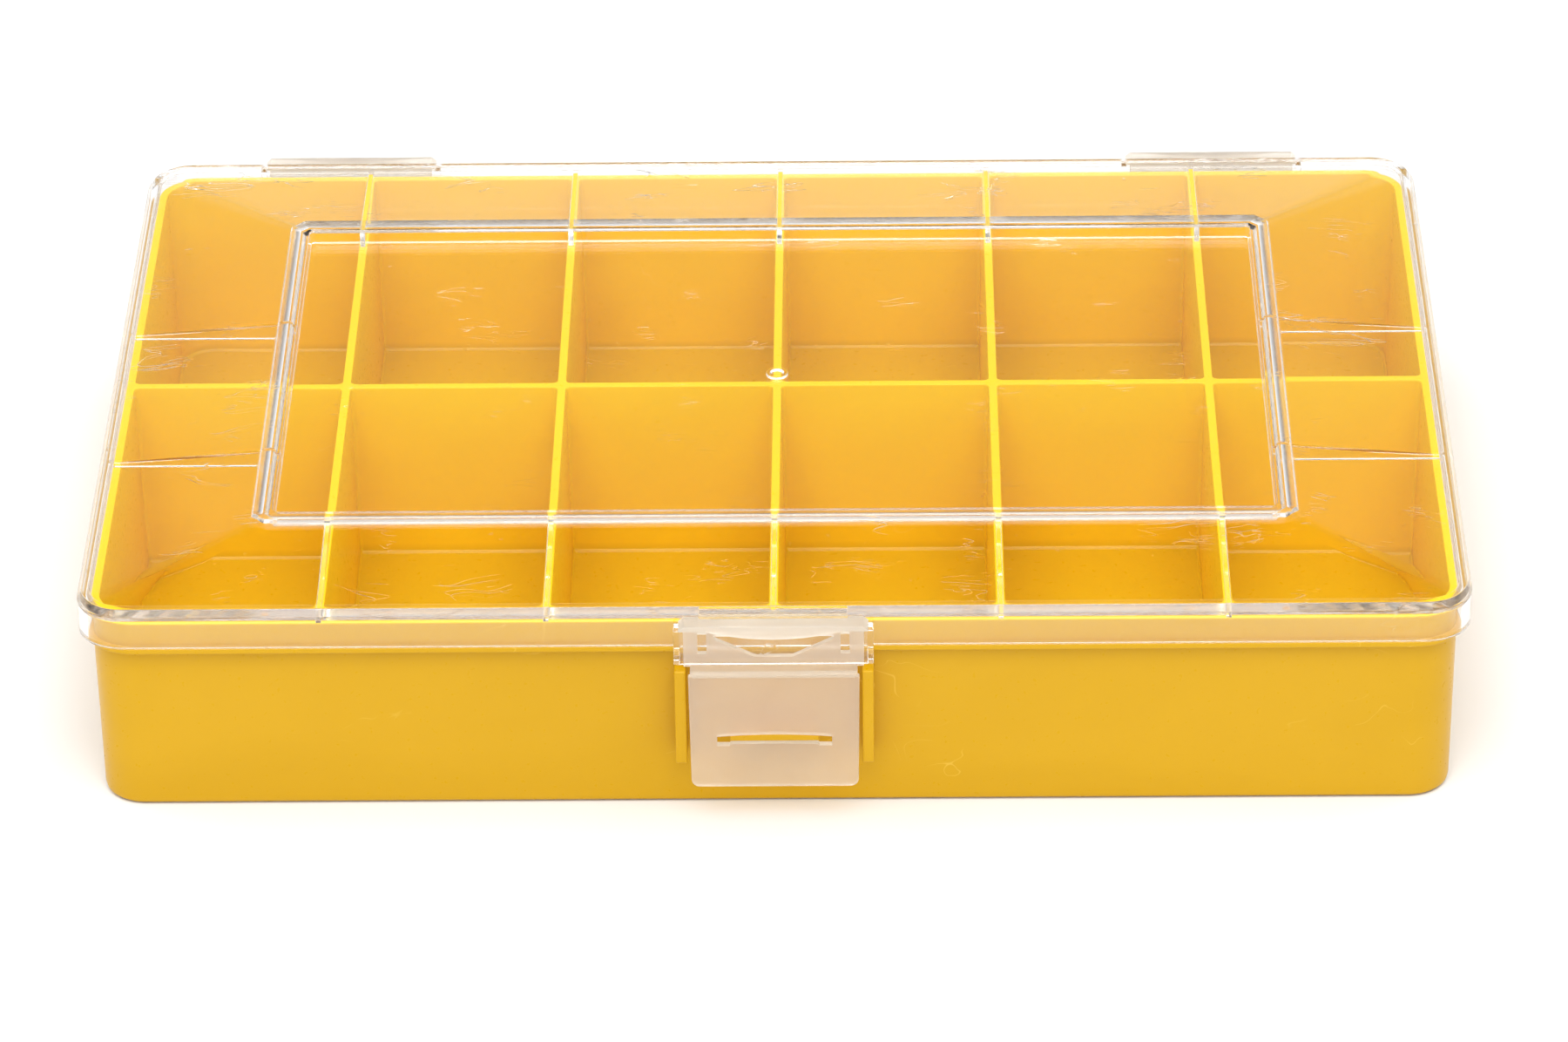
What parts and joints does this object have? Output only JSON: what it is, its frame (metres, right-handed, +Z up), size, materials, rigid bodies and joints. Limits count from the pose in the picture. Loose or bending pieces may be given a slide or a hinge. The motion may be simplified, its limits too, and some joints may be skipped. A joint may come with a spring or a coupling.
{
  "type": "fishing tackle box",
  "caption": "Flat compartment tackle box: divided yellow tray, clear hinged lid with a recessed centre panel, milky snap latch and two strip hinges.",
  "frame": {"origin": "on the surface the box stands on, under the middle of the box", "axes": "+X to the right along the long side, +Y from the latch to the hinges, +Z up"},
  "size_m": [0.276, 0.1972, 0.0495],
  "materials": {
    "yellow_tray": "opaque yellow injection-moulded plastic, satin sheen",
    "clear_lid": "clear, glossy, with fine scratches",
    "milky_clips": "natural milky polypropylene, translucent, satin"
  },
  "bodies": {
    "base": {"base_tray": "yellow_tray", "long_divider": "yellow_tray", "cross_divider_front_1": "yellow_tray", "cross_divider_front_2": "yellow_tray", "cross_divider_front_3": "yellow_tray", "cross_divider_front_4": "yellow_tray", "cross_divider_front_5": "yellow_tray", "cross_divider_rear_1": "yellow_tray", "cross_divider_rear_2": "yellow_tray", "cross_divider_rear_3": "yellow_tray", "cross_divider_rear_4": "yellow_tray", "cross_divider_rear_5": "yellow_tray", "hinge_left_base_leaf": "milky_clips", "hinge_right_base_leaf": "milky_clips"},
    "lid": {"lid": "clear_lid", "latch_clip": "milky_clips", "hinge_left_lid_leaf": "milky_clips", "hinge_right_lid_leaf": "milky_clips"},
    "latch": {"latch_flap": "milky_clips"}
  },
  "joints": [
    {"name": "lid_hinge", "type": "hinge", "parent": "base", "child": "lid", "pos_m": [0, 0.0989, 0.0344], "axis": [-1, 0, 0], "range_deg": [0, 180]},
    {"name": "latch_hinge", "type": "hinge", "parent": "lid", "child": "latch", "pos_m": [0, -0.0989, 0.0344], "axis": [-1, 0, 0], "range_deg": [0, 160]}
  ]
}
